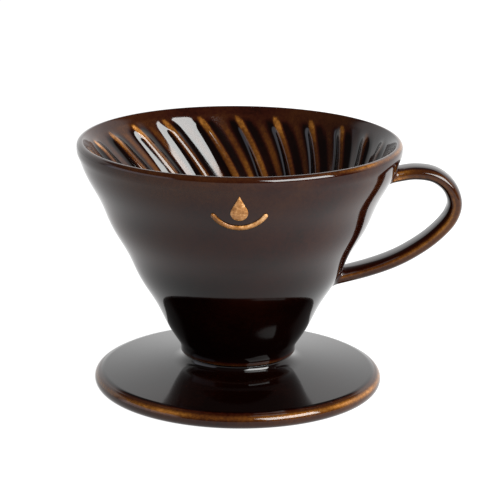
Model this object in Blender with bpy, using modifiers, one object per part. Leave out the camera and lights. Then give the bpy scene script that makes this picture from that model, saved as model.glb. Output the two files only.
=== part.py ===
"""Ceramic pour over dripper: a ribbed cone on a round plate, with a drip collar and a strap handle.

Metres, +Z up. The handle reaches along +X and the relief faces -Y. The origin is on the floor, in the
middle of the object's box. The turned pieces share one upright axis, held by an empty at the height of
the plate's underside, so the profiles below give heights above that underside.
"""
import math

import bmesh
import bpy
import numpy as np
from mathutils import Vector

MM = 0.001
GAP = 0.3 * MM                  # left between neighbouring pieces

# Driving dimensions
RIM_RADIUS = 58.0 * MM
RIM_HEIGHT = 90.9 * MM          # top of the lip above the plate's underside
LIP_RADIUS = 1.85 * MM          # the lip is a full round of the wall's thickness
COLLAR_DEPTH = 11.0 * MM        # from the plate's underside down to the foot
PLATE_RADIUS = 52.2 * MM
PLATE_EDGE = 5.4 * MM           # thickness at the plate's edge
DRAIN_BORE = 10.4 * MM          # through the neck and the plate, just clear of the cone's own opening
HANDLE_REACH = 79.9 * MM        # from the cone's axis to the outermost point of the handle
HANDLE_WIDTH = 12.4 * MM
HANDLE_SQUARENESS = 2.6         # exponent of the strap's oval section: 2 is an ellipse, more is squarer
HANDLE_COLUMNS = 16             # mesh columns round the strap

# The cone's inner wall is a 60 degree cone. Its outer wall is a steeper one with a soft swell and ripples.
INNER_SLOPE = math.tan(math.radians(30.0))
INNER_TOP = RIM_HEIGHT - LIP_RADIUS
INNER_TOP_RADIUS = RIM_RADIUS - 2.0 * LIP_RADIUS
OUTER_SLOPE = 0.507
OUTER_START = 13.11 * MM
SWELL = 1.83 * MM
SWELL_SPAN = 87.9 * MM
RIPPLE = 0.30 * MM
RIPPLE_PITCH = 19.2 * MM
RIPPLE_PEAK = 21.9 * MM
RIPPLES_FROM = 16.0 * MM        # the wall follows its formula between these heights
RIPPLES_TO = 85.0 * MM
CONE_FOOT = 12.3 * MM
CONE_FOOT_RADIUS = 20.1 * MM
FOOT_ROUNDING = 0.5 * MM

# Spiral ribs on the inner wall. Near the opening, where they crowd together, they are narrower and lower.
RIB_COUNT = 23
RIB_COLUMNS = 5                 # mesh columns across one rib
RIB_WIDTH = 4.8 * MM
RIB_HEIGHT = 1.4 * MM
RIB_TOP = 88.6 * MM
RIB_FULL = 82.0 * MM            # the tapered top ends here
RIB_TWIST = math.radians(0.738) / MM
RIB_PHASE = math.radians(-1.8)

# Plate, neck and collar
NECK_TOP = CONE_FOOT - GAP
NECK_RADIUS = 19.6 * MM
NECK_HOLLOW = 2.1 * MM          # radius of the hollow fillet
PLATE_HUB_RADIUS = 20.0 * MM
PLATE_HUB_HEIGHT = 9.6 * MM
COLLAR_RADIUS = 20.0 * MM
COLLAR_BORE = 12.0 * MM
COLLAR_SEAT = 0.9 * MM          # the collar sits this deep in the plate's underside

TURN_STEPS = 60
PLATE_STEPS = 72
AXIS_X = 0.5 * (RIM_RADIUS - HANDLE_REACH)

GLAZE_DARK = (0.028, 0.014, 0.009, 1.0)
GLAZE_AMBER = (0.26, 0.085, 0.016, 1.0)
BARE_CLAY = (0.36, 0.22, 0.13, 1.0)


def clear_scene():
    for thing in list(bpy.data.objects):
        bpy.data.objects.remove(thing, do_unlink=True)


def new_collection(name):
    group = bpy.data.collections.new(name)
    bpy.context.scene.collection.children.link(group)
    return group


def ceramic(name, colour, roughness):
    material = bpy.data.materials.new(name)
    material.use_nodes = True
    shader = material.node_tree.nodes["Principled BSDF"]
    shader.inputs["Base Color"].default_value = colour
    shader.inputs["Roughness"].default_value = roughness
    shader.inputs["Metallic"].default_value = 0.0
    return material


def add_object(name, mesh, material=None):
    """Put a mesh into the dripper, on the turned pieces' shared axis."""
    piece = bpy.data.objects.new(name, mesh)
    piece.parent = axis
    parts.objects.link(piece)
    if material:
        mesh.materials.append(material)
    return piece


def bake(piece, sharp=35.0):
    """Replace a piece's mesh by its evaluated one, shaded smooth up to an edge angle in degrees."""
    bpy.context.view_layer.update()
    evaluated = piece.evaluated_get(bpy.context.evaluated_depsgraph_get())
    mesh = bpy.data.meshes.new_from_object(evaluated)
    mesh.name = piece.name
    piece.modifiers.clear()
    piece.data = mesh
    mesh.shade_smooth()
    mesh.set_sharp_from_angle(angle=math.radians(sharp))
    return piece


def turned(name, profile, material=None, steps=TURN_STEPS):
    """Turn a closed profile of (radius, height) about Z; it runs down its outer side."""
    mesh = bpy.data.meshes.new(name)
    points = [(radius, 0.0, height) for radius, height in profile]
    edges = [(i, (i + 1) % len(points)) for i in range(len(points))]
    mesh.from_pydata(points, edges, [])
    piece = add_object(name, mesh, material)
    screw = piece.modifiers.new("Turn", "SCREW")
    screw.axis = "Z"
    screw.steps = steps
    screw.render_steps = steps
    screw.use_merge_vertices = True
    screw.merge_threshold = 0.00001
    return bake(piece)


def arc(centre, radius, start, end, count):
    """Points on an arc in a profile's plane; angles in degrees, from the outward direction upwards."""
    turns = np.radians(np.linspace(start, end, count))
    return [(centre[0] + radius * math.cos(a), centre[1] + radius * math.sin(a)) for a in turns]


def boolean(piece, cutter, operation):
    cut = piece.modifiers.new(operation.title(), "BOOLEAN")
    cut.operation = operation
    cut.solver = "EXACT"
    cut.object = cutter
    return bake(piece)


def as_cutter(piece):
    parts.objects.unlink(piece)
    cutters.objects.link(piece)
    piece.hide_render = True
    piece.display_type = "WIRE"
    return piece


def smooth_step(value, low, high):
    t = min(max((value - low) / (high - low), 0.0), 1.0)
    return t * t * (3.0 - 2.0 * t)


def outer_radius(height):
    swell = SWELL * math.sin(math.pi * (height - 13.0 * MM) / SWELL_SPAN)
    ripple = RIPPLE * math.cos(2.0 * math.pi * (height - RIPPLE_PEAK) / RIPPLE_PITCH)
    return OUTER_START + OUTER_SLOPE * height + swell + ripple


def inner_radius(height):
    return INNER_TOP_RADIUS - INNER_SLOPE * (INNER_TOP - height)


def rib_twist(height):
    return RIB_TWIST * max(RIB_TOP - height, 0.0)


def rib_width(height):
    pitch = 2.0 * math.pi * inner_radius(height) / RIB_COUNT
    return min(RIB_WIDTH, 0.8 * pitch)


def rib_height(height):
    rise = min(RIB_HEIGHT, 0.45 * rib_width(height))
    return rise * (1.0 - smooth_step(height, RIB_FULL, RIB_TOP))


def cone_profile():
    outer = [(outer_radius(h), h) for h in np.linspace(RIPPLES_TO, RIPPLES_FROM, 11)]
    foot = [
        (CONE_FOOT_RADIUS + FOOT_ROUNDING, CONE_FOOT + FOOT_ROUNDING),
        (CONE_FOOT_RADIUS, CONE_FOOT),
    ]
    inner = [(inner_radius(h), h) for h in np.linspace(CONE_FOOT, RIB_FULL - MM, 9)]
    inner += [(inner_radius(h), h) for h in (0.6 * RIB_FULL + 0.4 * RIB_TOP, RIB_TOP)]
    lip_centre = (RIM_RADIUS - LIP_RADIUS, RIM_HEIGHT - LIP_RADIUS)
    lip = arc(lip_centre, LIP_RADIUS, 180.0, 0.0, 5)
    return outer + foot + inner + lip


def cone_body():
    """The wall is turned, and the columns of its inside are then gathered into spiral ribs."""
    columns = RIB_COUNT * RIB_COLUMNS
    piece = turned("cone_body", cone_profile(), glaze, steps=columns)
    middle = RIB_COLUMNS // 2
    for vertex in piece.data.vertices:
        height = vertex.co.z
        radius = math.hypot(vertex.co.x, vertex.co.y)
        column = round(math.atan2(vertex.co.y, vertex.co.x) / (2.0 * math.pi) * columns)
        rib, place = divmod(column + middle, RIB_COLUMNS)
        turn = 2.0 * math.pi * column / columns
        inside = height < RIB_TOP - 0.1 * MM and radius < inner_radius(height) + 0.5 * MM
        if inside:
            across = (place - middle) / (RIB_COLUMNS - 1)
            turn = 2.0 * math.pi * rib / RIB_COUNT + across * rib_width(height) / radius
            radius -= rib_height(height) * (1.0 - 4.0 * across * across)
        turn += RIB_PHASE - rib_twist(height)
        vertex.co.x = radius * math.cos(turn)
        vertex.co.y = radius * math.sin(turn)
    return piece


def plate_top(radius):
    """Height of the plate's upper face: flat on the hub, then falling to the edge."""
    fall = (PLATE_HUB_HEIGHT - PLATE_EDGE) / (PLATE_RADIUS - PLATE_HUB_RADIUS)
    return PLATE_HUB_HEIGHT - fall * max(radius - PLATE_HUB_RADIUS, 0.0)


def neck_ring():
    """Ring between the cone's foot and the plate, with a hollow fillet running out on to the plate."""
    hollow_centre = (NECK_RADIUS + NECK_HOLLOW, NECK_TOP)
    hollow = arc(hollow_centre, NECK_HOLLOW, 180.0, 265.0, 6)
    skirt = [(hollow[-1][0], plate_top(hollow[-1][0]) + GAP), (PLATE_HUB_RADIUS, PLATE_HUB_HEIGHT + GAP)]
    bore = [(DRAIN_BORE, PLATE_HUB_HEIGHT + GAP), (DRAIN_BORE, NECK_TOP)]
    return turned("neck_ring", hollow + skirt + bore, glaze_edge)


def base_plate():
    """Dished plate: hub in the middle, top falling to a round edge, flat underside with the collar's seat."""
    edge_radius = 0.5 * PLATE_EDGE
    edge_centre = (PLATE_RADIUS - edge_radius, edge_radius)
    hub = [(DRAIN_BORE, PLATE_HUB_HEIGHT), (PLATE_HUB_RADIUS, PLATE_HUB_HEIGHT)]
    edge = arc(edge_centre, edge_radius, 82.0, -90.0, 7)
    seat_radius = COLLAR_RADIUS + GAP
    seat = [(seat_radius, 0.0), (seat_radius, COLLAR_SEAT), (DRAIN_BORE, COLLAR_SEAT)]
    return turned("base_plate", hub + edge + seat, glaze, steps=PLATE_STEPS)


def drip_collar():
    """Unglazed ring under the plate: it centres the dripper on a cup, and it is the foot on a table."""
    top = COLLAR_SEAT - GAP
    foot = -COLLAR_DEPTH
    profile = [
        (COLLAR_RADIUS, top),
        (COLLAR_RADIUS - 0.4 * MM, foot + 1.5 * MM),
        (COLLAR_RADIUS - 1.6 * MM, foot),
        (COLLAR_BORE + 2.0 * MM, foot),
        (COLLAR_BORE + 1.0 * MM, foot + 1.2 * MM),
        (COLLAR_BORE, top),
    ]
    return turned("drip_collar", profile, clay)


# Centre line of the handle, in mm from the cone's axis and above the plate's underside, root to root.
HANDLE_LINE = [
    (50.0, 77.1),
    (56.5, 78.8),
    (63.0, 79.7),
    (69.6, 78.65),
    (74.7, 74.8),
    (77.05, 69.1),
    (75.9, 63.7),
    (71.9, 58.5),
    (65.7, 53.2),
    (57.0, 47.95),
    (46.5, 43.85),
    (32.0, 39.85),
]
HANDLE_THICKNESS = (4.7, 5.5, 5.1)      # mm, at the upper root, half way and at the lower root
UPPER_ROOT_END = 9.0 * MM               # along the centre line, from its upper end
LOWER_ROOT_END = 9.5 * MM               # along the centre line, from its lower end
ROOT_FLARE_LENGTH = 5.0 * MM
ROOT_FLARE = (3.6 * MM, 1.0 * MM)       # added to the width and to the thickness at the wall
STRAP_STATIONS = 27
ROOT_STATIONS = 6


def handle_line():
    """A smooth curve through HANDLE_LINE, finely sampled, with the distance along it."""
    knots = [Vector((x, z)) * MM for x, z in HANDLE_LINE]
    knots = [2.0 * knots[0] - knots[1]] + knots + [2.0 * knots[-1] - knots[-2]]
    points = []
    for a, b, c, d in zip(knots, knots[1:], knots[2:], knots[3:]):
        for t in np.arange(0.0, 1.0, 0.05):
            points.append(0.5 * (2.0 * b + (c - a) * t + (2.0 * a - 5.0 * b + 4.0 * c - d) * t ** 2
                                 + (3.0 * b - a - 3.0 * c + d) * t ** 3))
    points = np.array(points + [knots[-2]])
    lengths = np.concatenate(([0.0], np.cumsum(np.linalg.norm(np.diff(points, axis=0), axis=1))))
    return points, lengths


def station(line, length):
    """Point, in-plane normal and thickness of the strap at a distance along its centre line."""
    points, lengths = line
    whole = lengths[-1]
    here, ahead, behind = (
        np.array([np.interp(at, lengths, points[:, k]) for k in (0, 1)])
        for at in (length, length + MM, length - MM)
    )
    along = (ahead - behind) / np.linalg.norm(ahead - behind)
    thickness = np.interp(length, (0.0, 0.45 * whole, whole), HANDLE_THICKNESS) * MM
    return here, (-along[1], along[0]), thickness


def strap_ring(place, flare=0.0):
    """One oval section of the strap, as points in space."""
    point, normal, thickness = place
    half_width = 0.5 * (HANDLE_WIDTH + flare * ROOT_FLARE[0])
    half_thickness = 0.5 * (thickness + flare * ROOT_FLARE[1])
    power = 2.0 / HANDLE_SQUARENESS
    ring = []
    for column in range(HANDLE_COLUMNS):
        a = 2.0 * math.pi * column / HANDLE_COLUMNS
        across = half_width * math.copysign(abs(math.cos(a)) ** power, math.cos(a))
        out = half_thickness * math.copysign(abs(math.sin(a)) ** power, math.sin(a))
        ring.append((point[0] + normal[0] * out, across, point[1] + normal[1] * out))
    return ring


def loft(name, rings, material):
    """Skin a row of unlike sections and close its two ends."""
    mesh = bpy.data.meshes.new(name)
    skin = bmesh.new()
    rows = [[skin.verts.new(point) for point in ring] for ring in rings]
    for low, high in zip(rows, rows[1:]):
        for i in range(len(low)):
            j = (i + 1) % len(low)
            skin.faces.new((low[i], low[j], high[j], high[i]))
    skin.faces.new(rows[0][::-1])
    skin.faces.new(rows[-1])
    bmesh.ops.recalc_face_normals(skin, faces=skin.faces)
    skin.to_mesh(mesh)
    skin.free()
    return add_object(name, mesh, material)


def wall_cutter():
    """The cone's outside, grown by the gap, to trim the handle's roots and seat the relief."""
    heights = np.linspace(88.0 * MM, 30.0 * MM, 13)
    profile = [(outer_radius(h) + GAP, h) for h in heights]
    profile += [(5.0 * MM, 30.0 * MM), (5.0 * MM, 88.0 * MM)]
    return as_cutter(turned("wall_cutter", profile, steps=96))


def handle(cutter):
    """Pulled strap, and the two flared roots that join it to the wall."""
    line = handle_line()
    whole = line[1][-1]
    ends = (UPPER_ROOT_END + GAP, whole - LOWER_ROOT_END - GAP)
    strap = [strap_ring(station(line, at)) for at in np.linspace(ends[0], ends[1], STRAP_STATIONS)]
    loft("handle", strap, glaze)
    roots = {"upper": (MM, UPPER_ROOT_END), "lower": (whole - MM, whole - LOWER_ROOT_END)}
    for side, (inner_end, outer_end) in roots.items():
        rings = []
        for at in np.linspace(inner_end, outer_end, ROOT_STATIONS):
            flare = max(1.0 - abs(outer_end - at) / ROOT_FLARE_LENGTH, 0.0)
            rings.append(strap_ring(station(line, at), (1.0 - flare) ** 2))
        root = loft("handle_root_" + side, rings, glaze)
        boolean(root, cutter, "DIFFERENCE")


def outline(name, points):
    """A flat closed outline facing -Y, thick enough to pass through the wall's front."""
    curve = bpy.data.curves.new(name, "CURVE")
    curve.dimensions = "2D"
    curve.fill_mode = "BOTH"
    curve.extrude = 12.0 * MM
    spline = curve.splines.new("POLY")
    spline.points.add(len(points) - 1)
    for slot, (x, z) in zip(spline.points, points):
        slot.co = (x, z, 0.0, 1.0)
    spline.use_cyclic_u = True
    shape = bpy.data.objects.new(name, curve)
    shape.rotation_euler = (math.radians(90.0), 0.0, 0.0)
    shape.location = (0.0, -50.0 * MM, 0.0)
    shape.parent = axis
    parts.objects.link(shape)
    bpy.context.view_layer.update()
    evaluated = shape.evaluated_get(bpy.context.evaluated_depsgraph_get())
    mesh = bpy.data.meshes.new_from_object(evaluated)
    weld = bmesh.new()
    weld.from_mesh(mesh)
    bmesh.ops.remove_doubles(weld, verts=weld.verts, dist=0.00001)
    bmesh.ops.transform(weld, matrix=shape.matrix_local, verts=weld.verts)
    weld.to_mesh(mesh)
    weld.free()
    bpy.data.objects.remove(shape, do_unlink=True)
    return mesh


MARK_RISE = 0.6 * MM
DROP_CENTRE = 78.0 * MM
DROP_RADIUS = 3.0 * MM
DROP_TIP = 84.5 * MM
BOWL_CENTRE = 82.5 * MM
BOWL_RADIUS = 10.5 * MM
BOWL_HALF_WIDTH = 0.8 * MM


def drop_outline():
    """A circle drawn out to a tip, joined by its tangents."""
    reach = DROP_TIP - DROP_CENTRE
    tangent = 90.0 - math.degrees(math.asin(DROP_RADIUS / reach))
    lean = 90.0 - tangent
    round_side = arc((0.0, DROP_CENTRE), DROP_RADIUS, lean, -180.0 - lean, 19)
    return round_side + [(0.0, DROP_TIP)]


def bowl_outline():
    """A bar bent to an arc below the drop, open side up."""
    centre = (0.0, BOWL_CENTRE)
    low = arc(centre, BOWL_RADIUS + BOWL_HALF_WIDTH, -150.0, -30.0, 15)
    high = arc(centre, BOWL_RADIUS - BOWL_HALF_WIDTH, -30.0, -150.0, 15)
    return low + high


def front_marks():
    """Relief on the front: a drop over a bowl, following the wall's curve."""
    heights = np.linspace(88.0 * MM, 66.0 * MM, 8)
    profile = [(outer_radius(h) + GAP + MARK_RISE, h) for h in heights]
    profile += [(outer_radius(h) + GAP, h) for h in heights[::-1]]
    skin = as_cutter(turned("relief_skin", profile, steps=120))
    for name, points in (("mark_drop", drop_outline()), ("mark_bowl", bowl_outline())):
        piece = add_object(name, outline(name, points), glaze_edge)
        boolean(piece, skin, "INTERSECT")


clear_scene()
parts = new_collection("pour_over_dripper")
cutters = new_collection("cutters")
axis = bpy.data.objects.new("dripper_axis", None)
axis.location = (AXIS_X, 0.0, COLLAR_DEPTH)
parts.objects.link(axis)
glaze = ceramic("dark_glaze", GLAZE_DARK, 0.08)
glaze_edge = ceramic("amber_glaze", GLAZE_AMBER, 0.12)
clay = ceramic("bare_clay", BARE_CLAY, 0.85)

cone_body()
neck_ring()
base_plate()
drip_collar()
trim = wall_cutter()
handle(trim)
front_marks()
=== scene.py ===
"""Looks of the ceramic pour over dripper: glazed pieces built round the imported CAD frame."""

import math

import bpy
import numpy as np
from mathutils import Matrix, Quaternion, Vector


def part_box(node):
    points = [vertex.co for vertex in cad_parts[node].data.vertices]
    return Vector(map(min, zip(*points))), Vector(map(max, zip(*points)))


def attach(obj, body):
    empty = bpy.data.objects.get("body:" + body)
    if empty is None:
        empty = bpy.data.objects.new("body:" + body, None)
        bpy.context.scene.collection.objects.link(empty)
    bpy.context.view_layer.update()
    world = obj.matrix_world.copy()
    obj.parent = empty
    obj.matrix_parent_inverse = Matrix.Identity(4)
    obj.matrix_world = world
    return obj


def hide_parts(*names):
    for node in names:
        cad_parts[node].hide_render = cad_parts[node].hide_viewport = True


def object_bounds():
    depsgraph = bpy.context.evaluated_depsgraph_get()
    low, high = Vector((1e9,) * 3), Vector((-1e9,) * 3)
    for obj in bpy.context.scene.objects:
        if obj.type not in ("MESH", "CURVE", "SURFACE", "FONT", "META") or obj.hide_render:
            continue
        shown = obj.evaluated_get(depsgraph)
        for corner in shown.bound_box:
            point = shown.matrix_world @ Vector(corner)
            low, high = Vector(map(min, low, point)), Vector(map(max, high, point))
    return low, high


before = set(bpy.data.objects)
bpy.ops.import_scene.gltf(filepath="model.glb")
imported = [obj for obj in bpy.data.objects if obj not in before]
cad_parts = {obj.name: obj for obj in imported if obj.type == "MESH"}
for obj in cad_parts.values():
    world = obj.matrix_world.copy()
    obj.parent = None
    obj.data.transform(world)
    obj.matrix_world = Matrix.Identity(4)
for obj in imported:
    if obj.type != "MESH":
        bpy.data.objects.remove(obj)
cad_low, cad_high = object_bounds()

MM = 0.001

# ---------------------------------------------------------------- places, read from the frame
plate_low, plate_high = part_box("base_plate")
cone_low, cone_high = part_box("cone_body")
neck_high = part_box("neck_ring")[1]
collar_low, collar_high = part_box("drip_collar")
handle_low, handle_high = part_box("handle")

AXIS_X = 0.5 * (plate_low.x + plate_high.x)
BASE_Z = plate_low.z                                # the plate's underside: heights below count from it
RIM_HEIGHT = cone_high.z - BASE_Z
RIM_RADIUS = 0.5 * (cone_high.y - cone_low.y)
CONE_FOOT = cone_low.z - BASE_Z
PLATE_RADIUS = 0.5 * (plate_high.y - plate_low.y)
PLATE_HUB_HEIGHT = plate_high.z - BASE_Z
NECK_TOP = neck_high.z - BASE_Z
COLLAR_RADIUS = 0.5 * (collar_high.y - collar_low.y)
COLLAR_DEPTH = BASE_Z - collar_low.z
HANDLE_WIDTH = handle_high.y - handle_low.y

# ---------------------------------------------------------------- shape of the wall, as in the CAD
LIP_RADIUS = 1.85 * MM
INNER_SLOPE = math.tan(math.radians(30.0))
INNER_TOP = RIM_HEIGHT - LIP_RADIUS
INNER_TOP_RADIUS = RIM_RADIUS - 2.0 * LIP_RADIUS
OUTER_START = 13.11 * MM            # radius of the outer wall, carried straight down to height 0
OUTER_SLOPE = 0.507                 # radius gained for each unit of height
SWELL = 1.83 * MM                   # the wall bellies out by this half way up the span
SWELL_FROM = 13.0 * MM
SWELL_SPAN = 87.9 * MM
RIPPLE = 0.30 * MM                  # soft throwing ripples
RIPPLE_PITCH = 19.2 * MM
RIPPLE_PEAK = 21.9 * MM
LIP_BLEND = 85.0 * MM               # the wall eases to the rim above this
FOOT_BLEND = 17.0 * MM              # and to the cone's foot below this
CONE_FOOT_RADIUS = 20.1 * MM
FOOT_BEVEL = 0.6 * MM
FOOT_SLOPE = 0.25

# the ribs stand and turn as the CAD's do, but a little higher and on wider, concave feet
RIB_COUNT = 23
RIB_FOOT = 5.2 * MM                 # out to where the concave foot runs into the wall
RIB_HALF_WIDTH = 4.6 * MM           # out to where the glaze stops pooling
RIB_HEIGHT = 1.5 * MM
RIB_STEEPEST = 0.36                 # no higher than this share of its half width, lower down
RIB_CROWDING = 0.98                 # and its half width no more than this share of half the pitch
RIB_TOP = 88.6 * MM
RIB_FULL = 83.0 * MM
RIB_TWIST = math.radians(0.738) / MM
RIB_PHASE = math.radians(-1.8)

PLATE_EDGE = 5.4 * MM
PLATE_HUB_RADIUS = 20.0 * MM
DRAIN_BORE = 10.4 * MM
NECK_RADIUS = 19.6 * MM
COLLAR_BORE = 12.0 * MM
COLLAR_SEAT = 0.9 * MM              # the collar sits this deep in the plate's underside
GAP = 0.3 * MM                      # left round the collar, as in the CAD


def smooth_step(value, low, high):
    t = np.clip((value - low) / (high - low), 0.0, 1.0)
    return t * t * (3.0 - 2.0 * t)


def bump(value, centre, width):
    """1 at the centre, falling smoothly to 0 one width away."""
    return 1.0 - smooth_step(np.abs(value - centre), 0.0, width)


def outer_radius(height):
    swell = SWELL * np.sin(math.pi * (height - SWELL_FROM) / SWELL_SPAN)
    ripple = RIPPLE * np.cos(2.0 * math.pi * (height - RIPPLE_PEAK) / RIPPLE_PITCH)
    free = OUTER_START + OUTER_SLOPE * height + swell + ripple
    to_lip = smooth_step(height, LIP_BLEND, INNER_TOP)
    foot = CONE_FOOT_RADIUS + FOOT_BEVEL + FOOT_SLOPE * (height - CONE_FOOT)
    to_foot = 1.0 - smooth_step(height, CONE_FOOT, FOOT_BLEND)
    wall = free + to_lip * (RIM_RADIUS - free)
    return wall + to_foot * (foot - wall)


def inner_radius(height):
    return INNER_TOP_RADIUS - INNER_SLOPE * (INNER_TOP - height)


def arc(centre, radius, start, end, count):
    turns = np.radians(np.linspace(start, end, count))
    return np.stack([centre[0] + radius * np.cos(turns), centre[1] + radius * np.sin(turns)], axis=-1)


def bend(start, corner, end, t):
    """A curve that leaves start towards corner and reaches end from it, as t goes from 0 to 1."""
    return start * (1.0 - t) ** 2 + corner * 2.0 * t * (1.0 - t) + end * t * t


# ---------------------------------------------------------------- meshes
def grid_mesh(name, points, edge, material, wrap_rows=False, row_shift=0, flip=False):
    """A mesh over rows x columns of points, closed round its columns, with the glaze's edge value, painted
    light and shade included, on it.

    wrap_rows joins the last row to the first, row_shift columns further on; otherwise the first and the
    last row are each closed with a fan.
    """
    rows, columns = points.shape[:2]
    vertices = points.reshape(-1, 3)
    edge = np.ravel(edge)
    index = np.arange(rows * columns).reshape(rows, columns)
    after = np.roll(index, -1, axis=1)
    quads = [np.stack([index[:-1], after[:-1], after[1:], index[1:]], axis=-1).reshape(-1, 4)]
    if wrap_rows:
        first = np.roll(index[0], -row_shift)
        quads.append(np.stack([index[-1], after[-1], np.roll(first, -1), first], axis=-1))
    faces = np.concatenate(quads).tolist()
    if not wrap_rows:
        hub = len(vertices)
        faces += [[hub, b, a] for a, b in zip(index[0], after[0])]
        faces += [[hub + 1, a, b] for a, b in zip(index[-1], after[-1])]
        vertices = np.concatenate([vertices, [points[0].mean(axis=0), points[-1].mean(axis=0)]])
        edge = np.concatenate([edge, [edge[0], edge[-1]]])
    if flip:
        faces = [face[::-1] for face in faces]
    mesh = bpy.data.meshes.new(name)
    mesh.from_pydata(vertices.tolist(), [], faces)
    # the glaze's edge value, which on some pieces also carries painted light and shade
    layer = mesh.attributes.new("glaze_edge_and_painted_light", "FLOAT", "POINT")
    layer.data.foreach_set("value", np.ascontiguousarray(edge, dtype=np.float32))
    mesh.shade_smooth()
    mesh.materials.append(material)
    mesh.validate()
    piece = bpy.data.objects.new(name, mesh)
    bpy.context.scene.collection.objects.link(piece)
    return piece


def lathe(name, profile, edge, material, columns=256):
    """Turn a profile of (radius, height above the plate's underside) round the axis."""
    turns = np.arange(columns) * 2.0 * math.pi / columns
    profile = np.asarray(profile)
    radius = profile[:, 0][:, None]
    height = profile[:, 1][:, None]
    points = np.stack(
        [AXIS_X + radius * np.cos(turns), radius * np.sin(turns), BASE_Z + height + 0.0 * turns], axis=-1
    )
    values = np.repeat(np.asarray(edge)[:, None], columns, axis=1)
    return grid_mesh(name, points, values, material, wrap_rows=True, flip=True)


def fit(piece, body, slot, *nodes):
    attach(piece, body)
    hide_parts(*nodes)
    return piece


# ---------------------------------------------------------------- materials
def node_material(name):
    material = bpy.data.materials.new(name)
    material.use_nodes = True
    nodes = material.node_tree.nodes
    return material, nodes, material.node_tree.links, nodes["Principled BSDF"]


def noise(nodes, links, place, scale, detail, roughness=0.5):
    texture = nodes.new("ShaderNodeTexNoise")
    texture.inputs["Scale"].default_value = scale
    texture.inputs["Detail"].default_value = detail
    texture.inputs["Roughness"].default_value = roughness
    links.new(place, texture.inputs["Vector"])
    return texture.outputs["Fac"]


def math_node(nodes, links, operation, a, b, clamp=False):
    node = nodes.new("ShaderNodeMath")
    node.operation = operation
    node.use_clamp = clamp
    for slot, value in zip(node.inputs, (a, b)):
        if isinstance(value, (int, float)):
            slot.default_value = value
        else:
            links.new(value, slot)
    return node.outputs["Value"]


def map_range(nodes, links, value, low, high, start, end):
    node = nodes.new("ShaderNodeMapRange")
    node.interpolation_type = "SMOOTHSTEP"
    node.inputs["From Min"].default_value = low
    node.inputs["From Max"].default_value = high
    node.inputs["To Min"].default_value = start
    node.inputs["To Max"].default_value = end
    links.new(value, node.inputs["Value"])
    return node.outputs["Result"]


# colour by edge value: 0 where the glaze lies thick, 1 where it is thinnest; on the lip, the inner wall and
# between the ribs the value also carries painted light and shade
GLAZE_STOPS = [
    (0.00, (0.0012, 0.0002, 0.0001)),
    (0.10, (0.0100, 0.0016, 0.0006)),
    (0.20, (0.0180, 0.0048, 0.0012)),
    (0.35, (0.0400, 0.0120, 0.0018)),
    (0.50, (0.0750, 0.0275, 0.0040)),
    (0.70, (0.1500, 0.0570, 0.0110)),
    (0.85, (0.2700, 0.1200, 0.0350)),
    (1.00, (0.4500, 0.2600, 0.1200)),
]


GLAZE_MOTTLE = {"scale": 800.0, "detail": 4.0, "roughness": 0.7}
GLAZE_CLOUD = {"scale": 38.0, "detail": 3.0}
GLAZE_PEEL = {"scale": 420.0, "detail": 2.0}
CLOUD_GAIN = 1.8
UNEVEN_THICK = 0.05                 # how much the glaze's edge value varies where it lies thick
UNEVEN_THIN = 1.20                  # and how much more where it breaks
GLAZE_ROUGHNESS = (0.05, 0.10)
PEEL_STRENGTH = 0.03
PEEL_HEIGHT = 0.13 * MM
GLAZE_IOR = 1.5
GLAZE_SPECULAR = 0.24


def glaze_material():
    """Iron glaze: near black where it lies thick, rust and amber where the clay's edges thin it, with
    painted light and shade carried in the same edge value.
    """
    material, nodes, links, shader = node_material("tenmoku_glaze")
    place = nodes.new("ShaderNodeTexCoord").outputs["Object"]
    edge = nodes.new("ShaderNodeAttribute")
    edge.attribute_name = "glaze_edge_and_painted_light"
    mottle = noise(nodes, links, place, **GLAZE_MOTTLE)
    cloud = noise(nodes, links, place, **GLAZE_CLOUD)
    fine = math_node(nodes, links, "SUBTRACT", mottle, 0.5)
    patches = math_node(nodes, links, "SUBTRACT", cloud, 0.5)
    broad = math_node(nodes, links, "MULTIPLY", patches, CLOUD_GAIN)
    spread = math_node(nodes, links, "MULTIPLY_ADD", edge.outputs["Fac"], UNEVEN_THIN)
    spread.node.inputs[2].default_value = UNEVEN_THICK
    both = math_node(nodes, links, "ADD", fine, broad)
    uneven = math_node(nodes, links, "MULTIPLY", both, spread)
    value = math_node(nodes, links, "ADD", edge.outputs["Fac"], uneven, clamp=True)
    ramp = nodes.new("ShaderNodeValToRGB")
    stops = ramp.color_ramp.elements
    while len(stops) < len(GLAZE_STOPS):
        stops.new(0.5)
    for stop, (position, colour) in zip(stops, GLAZE_STOPS):
        stop.position = position
        stop.color = (*colour, 1.0)
    links.new(value, ramp.inputs["Fac"])
    links.new(ramp.outputs["Color"], shader.inputs["Base Color"])
    rough = nodes.new("ShaderNodeMapRange")
    rough.inputs["To Min"].default_value, rough.inputs["To Max"].default_value = GLAZE_ROUGHNESS
    links.new(cloud, rough.inputs["Value"])
    links.new(rough.outputs["Result"], shader.inputs["Roughness"])
    peel = nodes.new("ShaderNodeBump")
    peel.inputs["Strength"].default_value = PEEL_STRENGTH
    peel.inputs["Distance"].default_value = PEEL_HEIGHT
    links.new(noise(nodes, links, place, **GLAZE_PEEL), peel.inputs["Height"])
    links.new(peel.outputs["Normal"], shader.inputs["Normal"])
    shader.inputs["IOR"].default_value = GLAZE_IOR
    shader.inputs["Specular IOR Level"].default_value = GLAZE_SPECULAR
    return material


CLAY_STOPS = [
    (0.25, (0.20, 0.115, 0.062)),
    (0.75, (0.46, 0.31, 0.20)),
]
CLAY_GRIT = {"scale": 900.0, "detail": 6.0, "roughness": 0.7}
CLAY_CLOUD = {"scale": 60.0, "detail": 3.0}
GRIT_SHARE = 0.6                    # of the colour's variation; the cloud has the rest
CLOUD_SHARE = 0.4
GRIT_STRENGTH = 0.5
GRIT_HEIGHT = 0.2 * MM
CLAY_ROUGHNESS = 0.85


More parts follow.
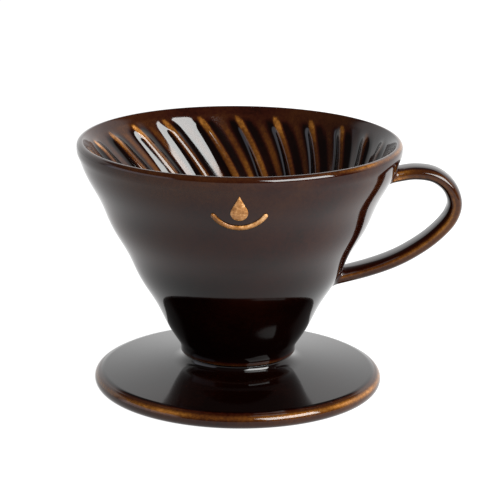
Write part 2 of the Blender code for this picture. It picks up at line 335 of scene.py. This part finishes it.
def clay_material():
    """Bare fired stoneware on the foot: gritty, warm buff."""
    material, nodes, links, shader = node_material("bare_stoneware")
    place = nodes.new("ShaderNodeTexCoord").outputs["Object"]
    grit = noise(nodes, links, place, **CLAY_GRIT)
    cloud = noise(nodes, links, place, **CLAY_CLOUD)
    mix = math_node(nodes, links, "MULTIPLY_ADD", grit, GRIT_SHARE)
    links.new(math_node(nodes, links, "MULTIPLY", cloud, CLOUD_SHARE), mix.node.inputs[2])
    ramp = nodes.new("ShaderNodeValToRGB")
    for stop, (position, colour) in zip(ramp.color_ramp.elements, CLAY_STOPS):
        stop.position = position
        stop.color = (*colour, 1.0)
    links.new(mix, ramp.inputs["Fac"])
    links.new(ramp.outputs["Color"], shader.inputs["Base Color"])
    relief = nodes.new("ShaderNodeBump")
    relief.inputs["Strength"].default_value = GRIT_STRENGTH
    relief.inputs["Distance"].default_value = GRIT_HEIGHT
    links.new(grit, relief.inputs["Height"])
    links.new(relief.outputs["Normal"], shader.inputs["Normal"])
    shader.inputs["Roughness"].default_value = CLAY_ROUGHNESS
    return material


# ---------------------------------------------------------------- the ribbed cone
COLUMNS_PER_RIB = 28
OUTER_ROWS = 70
LIP_ROWS = 12
BAND_ROWS = 9
BAND_FOOT = 88.0 * MM           # the ribbed wall's head
BAND_SLOPE = math.tan(math.radians(35.0))
INNER_ROWS = 110
RIDGE_POWERS = (7.0, 2.2)       # a narrow crest on a wide foot, half the rise each

# The glaze on the ribs. A pair is where a change begins and ends: across a rib, in shares of its half
# width; up the wall, in heights; at a rib's tapered head, in shares of its full rise.
CREST_WIDTH = (0.22, 0.38)
CREST_SHOWN = (0.02, 0.16)
CREST_NARROW = 0.62             # the crest's width at the rib's tip, for 1 further down
CREST_WIDENS = (0.0, 0.6)
CREST_LOW = 0.37                # edge value of the crest low down
CREST_GAIN = 0.31               # and what is added near the rib's tip
CREST_BRIGHTENS = (78.0 * MM, 87.0 * MM)
POOL_INNER = (0.30, 0.46)
POOL_OUTER = (0.80, 1.10)
POOL_STARTS = (0.1, 0.6)
POOL_DEPTH = 0.95
BROWN_STARTS = (0.68, 0.92)     # between two ribs, in shares of half the pitch
BROWN_FADES = (82.0 * MM, 87.5 * MM)
BROWN_DEEPENS = (66.0 * MM, 78.0 * MM)
BROWN_EDGE = 0.27
# painted light: the brown between the ribs is lifted lower down, where less light reaches
BROWN_LOW_PAINTED_LIGHT = 0.06
PLAIN_EDGE = 0.03
PLAIN_UPPER_GAIN = 0.15
PLAIN_UPPER_LEAST = 0.18

# The glaze on the outer wall and the lip, with painted light on the lip and painted shade on the inner wall
WALL_EDGE = 0.005
WALL_FOOT_GAIN = 0.31
WALL_FOOT_FADES = (CONE_FOOT + 0.4 * MM, CONE_FOOT + 1.8 * MM)
WALL_UPPER_GAIN = 0.105
WALL_UPPER_STARTS = (38.0 * MM, 64.0 * MM)
WALL_TOP_GAIN = 0.04
WALL_TOP_STARTS = (76.0 * MM, 84.0 * MM)
LIP_EDGE = 0.13
LIP_GAIN = 0.035
LIP_PAINTED_LIGHT = 0.40          # painted light: lighter amber added to the lip on the handle's side, where the key light falls
LIP_HANDLE_SIDE = (0.30, 0.78)
LIP_LEAN = (52.0, 48.0)         # degrees: where the lip is brightest, and how far that reaches
INNER_PAINTED_SHADE = 0.40             # painted shade: the inner wall is darker by this share on the handle's side, which faces away from the key light
INNER_HANDLE_SIDE = (-0.1, 0.8)
CLOSING_EDGE = 0.2              # on the two rows under the foot
CLOSING_BEVEL = 0.2 * MM        # the outlet's edge is wider than the inner wall by this
LIP_SWEEP = 95.0                # degrees over the lip's round
BAND_LEAN = 120.0               # stands for any lean past the lip


def handle_side(turn, low, high):
    """1 on the handle's side of the axis and 0 on the other; low and high are cosines of the turn."""
    return smooth_step(np.cos(turn + RIB_PHASE), low, high)


def rib_shape(height, turn):
    """Rise of the ribs over the inner wall, and the glaze's edge value on them."""
    pitch = 2.0 * math.pi / RIB_COUNT
    across = (turn - np.round(turn / pitch) * pitch) * inner_radius(height)
    half_pitch = 0.5 * pitch * inner_radius(height)
    half = np.minimum(RIB_HALF_WIDTH, RIB_CROWDING * half_pitch)
    foot = np.minimum(RIB_FOOT, half_pitch)
    ridge = np.clip(1.0 - (across / foot) ** 2, 0.0, 1.0)
    ridge = 0.5 * (ridge ** RIDGE_POWERS[0] + ridge ** RIDGE_POWERS[1])
    taper = 1.0 - smooth_step(height, RIB_FULL, RIB_TOP)
    rise = np.minimum(RIB_HEIGHT, RIB_STEEPEST * half) * taper
    return rise * ridge, rib_glaze(height, np.abs(across) / half, np.abs(across) / half_pitch, taper)


def rib_glaze(height, place, between, taper):
    """Amber on the ridge, black where the glaze pools in its feet, brown half way between two ribs, lifted
    lower down by painted light.

    place is 1 at the rib's half width, between is 1 half way to the next rib, and taper is 1 where the rib
    has its full rise.
    """
    width = CREST_NARROW + (1.0 - CREST_NARROW) * smooth_step(taper, *CREST_WIDENS)
    crest = (1.0 - smooth_step(place / width, *CREST_WIDTH)) * smooth_step(taper, *CREST_SHOWN)
    crest_edge = CREST_LOW + CREST_GAIN * smooth_step(height, *CREST_BRIGHTENS)
    middle = smooth_step(between, *BROWN_STARTS)
    upper = smooth_step(height, *BROWN_FADES)
    # painted light: lift the brown lower in the cone, where less light reaches
    brown = BROWN_EDGE + BROWN_LOW_PAINTED_LIGHT * (1.0 - smooth_step(height, *BROWN_DEEPENS))
    plain = PLAIN_EDGE + brown * middle * (1.0 - upper) + PLAIN_UPPER_GAIN * upper
    plain = np.maximum(PLAIN_UPPER_LEAST * upper, plain)
    pooled = smooth_step(place, *POOL_INNER) * (1.0 - smooth_step(place, *POOL_OUTER))
    edge = plain * (1.0 - POOL_DEPTH * pooled * smooth_step(taper, *POOL_STARTS))
    return edge + (crest_edge - edge) * crest


def wall_glaze(height):
    """Edge value on the outer wall: thin at the foot, thick above it, and lighter again upwards."""
    foot = 1.0 - smooth_step(height, *WALL_FOOT_FADES)
    upper = smooth_step(height, *WALL_UPPER_STARTS)
    top = smooth_step(height, *WALL_TOP_STARTS)
    return WALL_EDGE + WALL_FOOT_GAIN * foot + WALL_UPPER_GAIN * upper + WALL_TOP_GAIN * top


def lip_profile():
    """From the outer wall's top over the lip to the head of the ribbed wall: points and their lean."""
    centre = (RIM_RADIUS - LIP_RADIUS, INNER_TOP)
    lean = np.linspace(0.0, LIP_SWEEP, LIP_ROWS)
    over = arc(centre, LIP_RADIUS, 0.0, LIP_SWEEP, LIP_ROWS)
    head = np.array([inner_radius(BAND_FOOT), BAND_FOOT])
    corner = np.array([head[0] + BAND_SLOPE * (RIM_HEIGHT - head[1]), RIM_HEIGHT])
    band = bend(over[-1], corner, head, np.linspace(0.0, 1.0, BAND_ROWS)[:, None])
    points = np.concatenate([over[1:], band[1:-1]])
    return points, np.concatenate([lean[1:], np.full(BAND_ROWS - 2, BAND_LEAN)])


def cone_piece(material):
    """Outer wall, lip, ribbed inner wall and foot as one closed skin."""
    columns = RIB_COUNT * COLUMNS_PER_RIB
    turn = np.arange(columns) * 2.0 * math.pi / columns
    rows, values = [], []

    def add_row(radius, height, angle, edge):
        radius = radius + 0.0 * turn
        rows.append(np.stack([AXIS_X + radius * np.cos(angle), radius * np.sin(angle),
                              BASE_Z + height + 0.0 * turn], axis=-1))
        values.append(edge + 0.0 * turn)

    for height in np.linspace(CONE_FOOT + FOOT_BEVEL, INNER_TOP, OUTER_ROWS):
        add_row(outer_radius(height), height, turn + RIB_PHASE, wall_glaze(height))
    # the lip's own amber, plus painted light: lighter on the handle's side, where the key light falls
    lip_amber_and_painted_light = LIP_GAIN + LIP_PAINTED_LIGHT * handle_side(turn, *LIP_HANDLE_SIDE)
    points, leans = lip_profile()
    for (radius, height), lean in zip(points, leans):
        add_row(radius, height, turn + RIB_PHASE, LIP_EDGE + lip_amber_and_painted_light * bump(lean, *LIP_LEAN))
    for height in np.linspace(BAND_FOOT, CONE_FOOT + 0.5 * FOOT_BEVEL, INNER_ROWS):
        rise, edge = rib_shape(height, turn)
        twist = RIB_TWIST * max(RIB_TOP - height, 0.0)
        # painted shade: darken the inner wall on the handle's side
        edge = edge * (1.0 - INNER_PAINTED_SHADE * handle_side(turn - twist, *INNER_HANDLE_SIDE))
        add_row(inner_radius(height) - rise, height, turn + RIB_PHASE - twist, edge)
    # close the foot: the spiral has carried the inner columns round by a whole number of columns
    shift = round(RIB_TWIST * (RIB_TOP - CONE_FOOT) / (2.0 * math.pi) * columns)
    angle = turn + RIB_PHASE - 2.0 * math.pi * shift / columns
    add_row(inner_radius(CONE_FOOT) + CLOSING_BEVEL, CONE_FOOT, angle, CLOSING_EDGE)
    add_row(CONE_FOOT_RADIUS, CONE_FOOT, angle, CLOSING_EDGE)
    piece = grid_mesh("cone", np.array(rows), np.array(values), material, wrap_rows=True, row_shift=-shift)
    return fit(piece, "root", "dark_glaze", "cone_body")


# ---------------------------------------------------------------- plate, neck and collar
SLOPE = (PLATE_HUB_HEIGHT - PLATE_EDGE) / (PLATE_RADIUS - PLATE_HUB_RADIUS)
NECK_EASE = 4.6 * MM            # the hollow under the cone runs this far out over the plate
NECK_ROWS = 30
TOP_ROWS = 24
EDGE_ROWS = 30
EDGE_FROM, EDGE_TO = 80.0, -90.0    # degrees round the plate's edge, from its top to its underside
EDGE_GLAZE = 0.16
EDGE_AMBER = 0.34                   # added where the edge turns over
AMBER_LEAN = (36.0, 34.0)           # degrees: where that is, and how far it reaches
NECK_MARGIN = 0.6 * MM              # the plate's top starts this far past the hollow
EDGE_MARGIN = 0.5 * MM              # and stops this far short of the edge's round
BORE_BEVEL = 0.3 * MM

COLLAR_TOP = COLLAR_SEAT - GAP
COLLAR_TAPER = 0.4 * MM             # narrower outside at the foot
BORE_TAPER = 1.0 * MM               # and wider inside
FOOT_OUTER_ROUND = 1.6 * MM
FOOT_INNER_ROUND = 1.2 * MM
COLLAR_ROWS = 20
ROUND_ROWS = 10
BARE_FOOT = 1.0 * MM                # no glaze below this height over the foot
COLLAR_GLAZE = 0.05
COLLAR_AMBER = 0.6                  # added just above the bare foot
COLLAR_AMBER_AT = 2.2 * MM
COLLAR_AMBER_REACH = 1.6 * MM


def plate_top(radius):
    return PLATE_HUB_HEIGHT - SLOPE * np.maximum(radius - PLATE_HUB_RADIUS, 0.0)


def plate_piece(material):
    """Plate and neck in one skin: they are one glazed surface with a hollow fillet between them."""
    ease = NECK_RADIUS + NECK_EASE
    neck = bend(
        np.array([NECK_RADIUS, NECK_TOP]),
        np.array([NECK_RADIUS, plate_top(ease) + SLOPE * NECK_EASE]),
        np.array([ease, plate_top(ease)]),
        np.linspace(0.0, 1.0, NECK_ROWS)[:, None],
    )
    half = 0.5 * PLATE_EDGE
    edge_round = arc((PLATE_RADIUS - half, half), half, EDGE_FROM, EDGE_TO, EDGE_ROWS)
    radii = np.linspace(neck[-1][0] + NECK_MARGIN, edge_round[0][0] - EDGE_MARGIN, TOP_ROWS)
    top = np.stack([radii, plate_top(radii)], axis=-1)
    seat = COLLAR_RADIUS + GAP
    under = np.array([(seat, 0.0), (seat, COLLAR_SEAT), (DRAIN_BORE, COLLAR_SEAT)])
    bore = np.array([(DRAIN_BORE, NECK_TOP - BORE_BEVEL), (DRAIN_BORE + BORE_BEVEL, NECK_TOP)])
    profile = np.concatenate([bore, neck, top, edge_round, under])
    edge = np.zeros(len(profile))
    shoulder = slice(len(profile) - len(under) - EDGE_ROWS, len(profile) - len(under))
    lean = np.linspace(EDGE_FROM, EDGE_TO, EDGE_ROWS)
    edge[shoulder] = EDGE_GLAZE + EDGE_AMBER * bump(lean, *AMBER_LEAN)
    piece = lathe("plate", profile, edge, material)
    return fit(piece, "root", "dark_glaze", "base_plate", "neck_ring")


def collar_piece(glaze, clay):
    """Glazed collar with a bare foot."""
    foot = -COLLAR_DEPTH
    down = np.linspace(0.0, 1.0, COLLAR_ROWS)[:, None]
    outer_foot = foot + FOOT_OUTER_ROUND
    inner_foot = foot + FOOT_INNER_ROUND
    outer_top = np.array([COLLAR_RADIUS, COLLAR_TOP])
    outer = outer_top + (np.array([COLLAR_RADIUS - COLLAR_TAPER, outer_foot]) - outer_top) * down
    rounding = arc((COLLAR_RADIUS - COLLAR_TAPER - FOOT_OUTER_ROUND, outer_foot), FOOT_OUTER_ROUND,
                   0.0, -90.0, ROUND_ROWS)[1:]
    inner_round = arc((COLLAR_BORE + BORE_TAPER + FOOT_INNER_ROUND, inner_foot), FOOT_INNER_ROUND,
                      270.0, 180.0, ROUND_ROWS)
    inner_low = np.array([COLLAR_BORE + BORE_TAPER, inner_foot])
    inner = inner_low + (np.array([COLLAR_BORE, COLLAR_TOP]) - inner_low) * down[1:]
    profile = np.concatenate([outer, rounding, inner_round, inner])
    amber = bump(profile[:, 1], foot + COLLAR_AMBER_AT, COLLAR_AMBER_REACH)
    piece = lathe("collar", profile, COLLAR_GLAZE + COLLAR_AMBER * amber, glaze, columns=160)
    piece.data.materials.append(clay)
    for face in piece.data.polygons:
        if face.center.z < BASE_Z + foot + BARE_FOOT:
            face.material_index = 1
    return fit(piece, "root", "bare_clay", "drip_collar")


# ---------------------------------------------------------------- handle
# the strap's centre line in millimetres, as (distance from the axis, height), as in the CAD
HANDLE_LINE = [
    (50.0, 77.1),
    (56.5, 78.8),
    (63.0, 79.7),
    (69.6, 78.65),
    (74.7, 74.8),
    (77.05, 69.1),
    (75.9, 63.7),
    (71.9, 58.5),
    (65.7, 53.2),
    (57.0, 47.95),
    (46.5, 43.85),
    (32.0, 39.85),
]
HANDLE_THICKNESS = (4.7, 5.5, 5.1)      # mm, at the upper root, near the middle and at the lower root
HANDLE_THICKEST = 0.45                  # how far along the line the second of them is
HANDLE_SQUARENESS = 2.6                 # exponent of the strap's oval section
HANDLE_COLUMNS = 72
HANDLE_SAMPLES = 321
STRAP_ROWS = 88
ROOT_FILLET = 2.6 * MM
ROOT_SUNK = 0.15 * MM                   # the fillet starts this far inside the wall
FILLET_ROWS = 10
LINE_STEP = 0.02                        # of the way between two of the line's points

# The glaze on the strap. It thins on the two sides; out is -1 on the strap's inner face and 1 on the outer.
STRAP_SIDE = (0.66, 0.90)               # shares of the half width where the side begins
STRAP_EDGE = 0.05
STRAP_OUTER_GAIN = 0.16
STRAP_OUTER_STARTS = (-0.80, -0.10)
STRAP_STREAKS = [(0.20, -0.25, 0.38), (0.07, 0.72, 0.30)]   # gain, place in out, half width
ROOT_EDGE = 0.04
UPPER_ROOT_FADE = (0.20, 0.75)          # shares of the fillet, from the wall
LOWER_ROOT_FADE = (0.45, 1.0)
BARE_AT = 0.9 * FILLET_ROWS             # rows from the upper root where the glaze has run off
BARE_REACH = 0.7 * FILLET_ROWS
BARE_GAIN = 1.2


def handle_line():
    """A smooth curve through HANDLE_LINE, finely sampled, with the distance along it."""
    knots = [np.array(point) * MM for point in HANDLE_LINE]
    knots = [2.0 * knots[0] - knots[1]] + knots + [2.0 * knots[-1] - knots[-2]]
    points = []
    for a, b, c, d in zip(knots, knots[1:], knots[2:], knots[3:]):
        for t in np.arange(0.0, 1.0, LINE_STEP):
            points.append(0.5 * (2.0 * b + (c - a) * t + (2.0 * a - 5.0 * b + 4.0 * c - d) * t ** 2
                                 + (3.0 * b - a - 3.0 * c + d) * t ** 3))
    points = np.array(points + [knots[-2]])
    lengths = np.concatenate(([0.0], np.cumsum(np.linalg.norm(np.diff(points, axis=0), axis=1))))
    return points, lengths


def strap_oval():
    """The strap's section as points (across, out), each from -1 to 1."""
    turns = 2.0 * math.pi * (np.arange(HANDLE_COLUMNS) + 0.5) / HANDLE_COLUMNS
    power = 2.0 / HANDLE_SQUARENESS
    across = np.sign(np.cos(turns)) * np.abs(np.cos(turns)) ** power
    out = np.sign(np.sin(turns)) * np.abs(np.sin(turns)) ** power
    return across, out


def strap_glaze():
    """The glaze's edge value round the strap's section."""
    across, out = strap_oval()
    thin = STRAP_OUTER_GAIN * smooth_step(out, *STRAP_OUTER_STARTS)
    for gain, centre, width in STRAP_STREAKS:
        thin = thin + gain * bump(out, centre, width)
    return STRAP_EDGE + smooth_step(np.abs(across), *STRAP_SIDE) * thin


def wall_distance(points):
    """How far points lie outside the cone's outer wall, measured level."""
    x, y, height = points[..., 0] - AXIS_X, points[..., 1], points[..., 2] - BASE_Z
    return np.hypot(x, y) - outer_radius(height)


def wall_normal(point):
    x, y, height = point[0] - AXIS_X, point[1], point[2] - BASE_Z
    step = 0.2 * MM
    slope = float((outer_radius(height + step) - outer_radius(height - step)) / (2.0 * step))
    radius = math.hypot(x, y)
    found = np.array([x / radius, y / radius, -slope])
    return found / np.linalg.norm(found)


class Strap:
    """The strap's sections, closely spaced along its centre line and carried on into the wall."""

    def __init__(self):
        points, lengths = handle_line()
        whole = lengths[-1]
        self.at = np.linspace(0.0, whole, HANDLE_SAMPLES)
        self.centre = np.stack([np.interp(self.at, lengths, points[:, k]) for k in (0, 1)], axis=-1)
        along = np.gradient(self.centre, axis=0)
        along /= np.linalg.norm(along, axis=1)[:, None]
        normal = np.stack([-along[:, 1], along[:, 0]], axis=-1)
        thickness = np.interp(self.at, (0.0, HANDLE_THICKEST * whole, whole), HANDLE_THICKNESS) * MM
        across, out = strap_oval()
        level = 0.5 * thickness[:, None] * out
        self.rings = np.stack([
            AXIS_X + self.centre[:, :1] + level * normal[:, :1],
            0.5 * HANDLE_WIDTH * across + 0.0 * level,
            BASE_Z + self.centre[:, 1:] + level * normal[:, 1:],
        ], axis=-1)

    def point(self, column, length):
        return np.array([np.interp(length, self.at, self.rings[:, column, k]) for k in range(3)])

    def outward(self, column, length):
        """Away from the centre line, in the section."""
        middle = np.array([AXIS_X + np.interp(length, self.at, self.centre[:, 0]), 0.0,
                           BASE_Z + np.interp(length, self.at, self.centre[:, 1])])
        away = self.point(column, length) - middle
        return away / np.linalg.norm(away)

    def wall_meetings(self):
        """How far along the line each column meets the wall, at the upper and at the lower root."""
        inside = wall_distance(self.rings) < 0.0
        middle = len(self.at) // 2
        upper = [self.at[np.nonzero(column)[0][-1]] for column in inside[:middle].T]
        lower = [self.at[middle + np.nonzero(column)[0][0]] for column in inside[middle:].T]
        return np.array(upper), np.array(lower)

    def root_rows(self, ends, step):
        """Rows from the wall out to the strap, each column on a fillet between the two."""
        rows = np.zeros((FILLET_ROWS, HANDLE_COLUMNS, 3))
        for column, end in enumerate(ends):
            corner = self.point(column, end)
            wall = wall_normal(corner)
            spread = self.outward(column, end)
            spread = spread - wall * (spread @ wall)
            spread /= np.linalg.norm(spread)
            start = corner + spread * ROOT_FILLET - wall * ROOT_SUNK
            far = self.point(column, end + step * ROOT_FILLET)
            for row, t in enumerate(np.linspace(0.0, 1.0, FILLET_ROWS)):
                rows[row, column] = bend(start, corner, far, t)
        return rows


def handle_piece(material):
    """Strap and both roots in one skin."""
    strap = Strap()
    first, last = strap.wall_meetings()
    begin = first + ROOT_FILLET
    finish = last - ROOT_FILLET
    middle = np.array([
        [strap.point(column, begin[column] + (finish[column] - begin[column]) * share)
         for column in range(HANDLE_COLUMNS)]
        for share in np.linspace(0.0, 1.0, STRAP_ROWS + 2)[1:-1]
    ])
    rows = np.concatenate([strap.root_rows(first, 1.0), middle, strap.root_rows(last, -1.0)[::-1]])
    fade = np.ones(len(rows))
    ramp = np.linspace(0.0, 1.0, FILLET_ROWS)
    fade[:FILLET_ROWS] = smooth_step(ramp, *UPPER_ROOT_FADE)
    fade[-FILLET_ROWS:] = smooth_step(ramp, *LOWER_ROOT_FADE)[::-1]
    edge = ROOT_EDGE + (strap_glaze() - ROOT_EDGE) * fade[:, None]
    # the glaze has run off the strap's shoulders next to the upper root
    bare = bump(np.arange(len(rows)), BARE_AT, BARE_REACH)
    edge = edge * (1.0 + BARE_GAIN * bare[:, None])
    piece = grid_mesh("handle_strap", rows, edge, material)
    return fit(piece, "root", "dark_glaze", "handle", "handle_root_upper", "handle_root_lower")


# ---------------------------------------------------------------- relief on the front
MARK_RISE = 0.75 * MM
MARK_SUNK = 0.25 * MM
DROP_CENTRE = 78.0 * MM
DROP_RADIUS = 3.0 * MM
DROP_TIP = 84.5 * MM
BOWL_CENTRE = 82.5 * MM
BOWL_RADIUS = 10.5 * MM
BOWL_HALF_WIDTH = 0.85 * MM
BOWL_FROM, BOWL_TO = -152.0, -28.0      # degrees round the bowl's centre
BOWL_ROUNDED = 6.0                      # degrees over which each end rounds off
BOWL_ROWS = 70
BOWL_COLUMNS = 24
BOWL_END_GIRTH = 0.02                   # share of the line's girth left at its very ends
DROP_ROUND_POINTS = 60
DROP_SIDE_POINTS = 22
DROP_ROWS = 14
DROP_DOME = (4.0, 88.0)                 # degrees up the dome of the first and the last row over the wall
DROP_EDGE = 0.76
BOWL_EDGE = 0.74


def on_wall(x, height, rise):
    """A point of the front relief, from its sideways place and height, standing rise proud of the wall."""
    radius = outer_radius(height) + rise
    turn = x / outer_radius(height)
    return np.stack([AXIS_X + radius * np.sin(turn), -radius * np.cos(turn), BASE_Z + height], axis=-1)


def drop_piece(material):
    reach = DROP_TIP - DROP_CENTRE
    lean = math.degrees(math.asin(DROP_RADIUS / reach))
    round_side = arc((0.0, DROP_CENTRE), DROP_RADIUS, lean, -180.0 - lean, DROP_ROUND_POINTS)
    tip = np.array([0.0, DROP_TIP])
    share = np.linspace(0.0, 1.0, DROP_SIDE_POINTS)[:-1, None]
    left = round_side[-1] + (tip - round_side[-1]) * share[1:]
    right = tip + (round_side[0] - tip) * share
    outline = np.concatenate([round_side, left, right])
    middle = np.array([0.0, DROP_CENTRE])
    dome = np.radians(np.linspace(*DROP_DOME, DROP_ROWS))
    levels = [(1.0, -MARK_SUNK)] + [(math.cos(a), MARK_RISE * math.sqrt(math.sin(a))) for a in dome]
    rows = []
    for scale, rise in levels:
        ring = middle + (outline - middle) * scale
        rows.append(on_wall(ring[:, 0], ring[:, 1], rise))
    values = np.full((len(rows), len(outline)), DROP_EDGE)
    piece = grid_mesh("mark_drop_relief", np.array(rows)[:, ::-1], values, material)
    return fit(piece, "root", "amber_glaze", "mark_drop")


def bowl_piece(material):
    rows = []
    for a in np.linspace(BOWL_FROM, BOWL_TO, BOWL_ROWS):
        end = min(min(a - BOWL_FROM, BOWL_TO - a) / BOWL_ROUNDED, 1.0)
        girth = math.sqrt(max(1.0 - (1.0 - end) ** 2, 0.0)) + BOWL_END_GIRTH
        ring = []
        for b in np.radians(np.linspace(0.0, 360.0, BOWL_COLUMNS, endpoint=False)):
            radius = BOWL_RADIUS + BOWL_HALF_WIDTH * girth * math.cos(b)
            x = radius * math.cos(math.radians(a))
            height = BOWL_CENTRE + radius * math.sin(math.radians(a))
            proud = MARK_RISE * girth if math.sin(b) > 0.0 else MARK_SUNK
            ring.append(on_wall(x, height, proud * math.sin(b)))
        rows.append(ring)
    values = np.full((BOWL_ROWS, BOWL_COLUMNS), BOWL_EDGE)
    piece = grid_mesh("mark_bowl_relief", np.array(rows)[:, ::-1], values, material)
    return fit(piece, "root", "amber_glaze", "mark_bowl")


# ---------------------------------------------------------------- stage: floor, lights, camera
FLOOR_HALF = 6.0
FLOOR_SPAN = (-0.10, 0.16)          # the floor's painted glow grows between these places on x
FLOOR_PAINTED_GLOW = (0.98, 1.30)
FLOOR_GREY = 0.08
FLOOR_ROUGHNESS = 0.9


def floor_piece():
    """White sweep that glows by its own emission, more strongly on the handle's side: painted light for the
    key's fall on the floor.
    """
    material, nodes, links, shader = node_material("floor_white")
    shader.inputs["Base Color"].default_value = (FLOOR_GREY, FLOOR_GREY, FLOOR_GREY, 1.0)
    shader.inputs["Roughness"].default_value = FLOOR_ROUGHNESS
    shader.inputs["Specular IOR Level"].default_value = 0.0
    shader.inputs["Emission Color"].default_value = (1.0, 1.0, 1.0, 1.0)
    split = nodes.new("ShaderNodeSeparateXYZ")
    links.new(nodes.new("ShaderNodeTexCoord").outputs["Object"], split.inputs["Vector"])
    # painted light: the floor's emission rises towards the handle's side
    painted_glow = map_range(nodes, links, split.outputs["X"], *FLOOR_SPAN, *FLOOR_PAINTED_GLOW)
    links.new(painted_glow, shader.inputs["Emission Strength"])
    mesh = bpy.data.meshes.new("floor")
    corners = [(-1, -1), (1, -1), (1, 1), (-1, 1)]
    mesh.from_pydata([(FLOOR_HALF * x, FLOOR_HALF * y, cad_low.z) for x, y in corners], [], [(0, 1, 2, 3)])
    mesh.materials.append(material)
    floor = bpy.data.objects.new("floor", mesh)
    bpy.context.scene.collection.objects.link(floor)


LIGHT_COLOUR = (0.96, 0.98, 0.97)
LIGHT_TARGET = Vector((AXIS_X, 0.0, BASE_Z + 0.05))


def around(azimuth, elevation, distance):
    """A place round the dripper: azimuth 0 is the camera's side, 90 is the handle's side."""
    a, e = math.radians(azimuth), math.radians(elevation)
    way = Vector((math.sin(a) * math.cos(e), -math.cos(a) * math.cos(e), math.sin(e)))
    return LIGHT_TARGET + way * distance


def softbox(name, azimuth, elevation, distance, width, height, power):
    light = bpy.data.lights.new(name, "AREA")
    light.shape = "RECTANGLE"
    light.size = width
    light.size_y = height
    light.energy = power
    light.color = LIGHT_COLOUR
    lamp = bpy.data.objects.new(name, light)
    lamp.location = around(azimuth, elevation, distance)
    aim = LIGHT_TARGET - lamp.location
    lamp.rotation_mode = "QUATERNION"
    lamp.rotation_quaternion = aim.to_track_quat("-Z", "Y")
    bpy.context.scene.collection.objects.link(lamp)
    return lamp


# Pairs are where a change begins and ends: in degrees above the horizon, or on the sky's unit sphere.
SURROUND_TOP = (31.0, 38.0)
SURROUND_SKEW = 0.15                # it ends a little nearer the camera on the right than on the left
SURROUND_FRONT = (0.06, 0.36)
SURROUND_SIDE = (-0.8, 0.9)
SURROUND_LIGHT = (1.15, 1.38)       # at the two ends of SURROUND_SIDE
ROOM_LIGHT = 0.10
CARD_COLOUR = (0.86, 0.87, 1.0, 1.0)
CARD_LIGHT = 2.1
CARD_TOP = (24.0, 29.0)
CARD_RIGHT = (-0.76, -0.66)
CARD_BACK = (0.15, 0.35)


def sines(degrees):
    return [math.sin(math.radians(angle)) for angle in degrees]


def world_light():
    """A white surround behind, up to a little above the horizon, and a low cool card on the left."""
    world = bpy.data.worlds.new("surround")
    world.use_nodes = True
    nodes, links = world.node_tree.nodes, world.node_tree.links
    split = nodes.new("ShaderNodeSeparateXYZ")
    links.new(nodes.new("ShaderNodeTexCoord").outputs["Generated"], split.inputs["Vector"])
    x, y, z = split.outputs["X"], split.outputs["Y"], split.outputs["Z"]

    surround = nodes["Background"]
    surround.inputs["Color"].default_value = (1.0, 1.0, 1.0, 1.0)
    height = map_range(nodes, links, z, *sines(SURROUND_TOP), 1.0, 0.0)
    skew = math_node(nodes, links, "MULTIPLY_ADD", x, SURROUND_SKEW)
    links.new(y, skew.node.inputs[2])
    behind = map_range(nodes, links, skew, *SURROUND_FRONT, 0.0, 1.0)
    side = map_range(nodes, links, x, *SURROUND_SIDE, *SURROUND_LIGHT)
    shape = math_node(nodes, links, "MULTIPLY", height, behind)
    strength = math_node(nodes, links, "MULTIPLY", shape, side)
    links.new(math_node(nodes, links, "ADD", strength, ROOM_LIGHT), surround.inputs["Strength"])

    card = nodes.new("ShaderNodeBackground")
    card.inputs["Color"].default_value = CARD_COLOUR
    under = map_range(nodes, links, z, *sines(CARD_TOP), 1.0, 0.0)
    left = map_range(nodes, links, x, *CARD_RIGHT, CARD_LIGHT, 0.0)
    front = map_range(nodes, links, y, *CARD_BACK, 1.0, 0.0)
    corner = math_node(nodes, links, "MULTIPLY", under, left)
    links.new(math_node(nodes, links, "MULTIPLY", corner, front), card.inputs["Strength"])

    both = nodes.new("ShaderNodeAddShader")
    links.new(surround.outputs["Background"], both.inputs[0])
    links.new(card.outputs["Background"], both.inputs[1])
    links.new(both.outputs["Shader"], nodes["World Output"].inputs["Surface"])
    bpy.context.scene.world = world


# fitted to the photo's outlines of the rim, wall, plate and handle
CAMERA_TARGET_HEIGHT = 0.050
CAMERA_DISTANCE = 0.7862
CAMERA_ELEVATION = 15.84
CAMERA_LENS = 163.5
CAMERA_SHIFT = (0.00235, 0.0203)
CAMERA_ROLL = 0.526
SENSOR_WIDTH = 36.0


def camera():
    data = bpy.data.cameras.new("camera")
    data.sensor_width = SENSOR_WIDTH
    data.lens = CAMERA_LENS
    data.shift_x, data.shift_y = CAMERA_SHIFT
    data.clip_start = 0.01
    view = bpy.data.objects.new("camera", data)
    target = Vector((AXIS_X, 0.0, BASE_Z + CAMERA_TARGET_HEIGHT))
    e = math.radians(CAMERA_ELEVATION)
    forward = Vector((0.0, math.cos(e), -math.sin(e)))
    view.location = target - forward * CAMERA_DISTANCE
    view.rotation_mode = "QUATERNION"
    roll = Quaternion((0.0, 0.0, 1.0), math.radians(CAMERA_ROLL))
    view.rotation_quaternion = forward.to_track_quat("-Z", "Y") @ roll
    bpy.context.scene.collection.objects.link(view)
    bpy.context.scene.camera = view


camera()
world_light()
floor_piece()
softbox("key_right", azimuth=45.8, elevation=34.0, distance=1.6, width=1.27, height=0.86, power=92.6)
bpy.context.scene.view_settings.view_transform = "Standard"

glaze = glaze_material()
clay = clay_material()
cone_piece(glaze)
plate_piece(glaze)
collar_piece(glaze, clay)
handle_piece(glaze)
drop_piece(glaze)
bowl_piece(glaze)
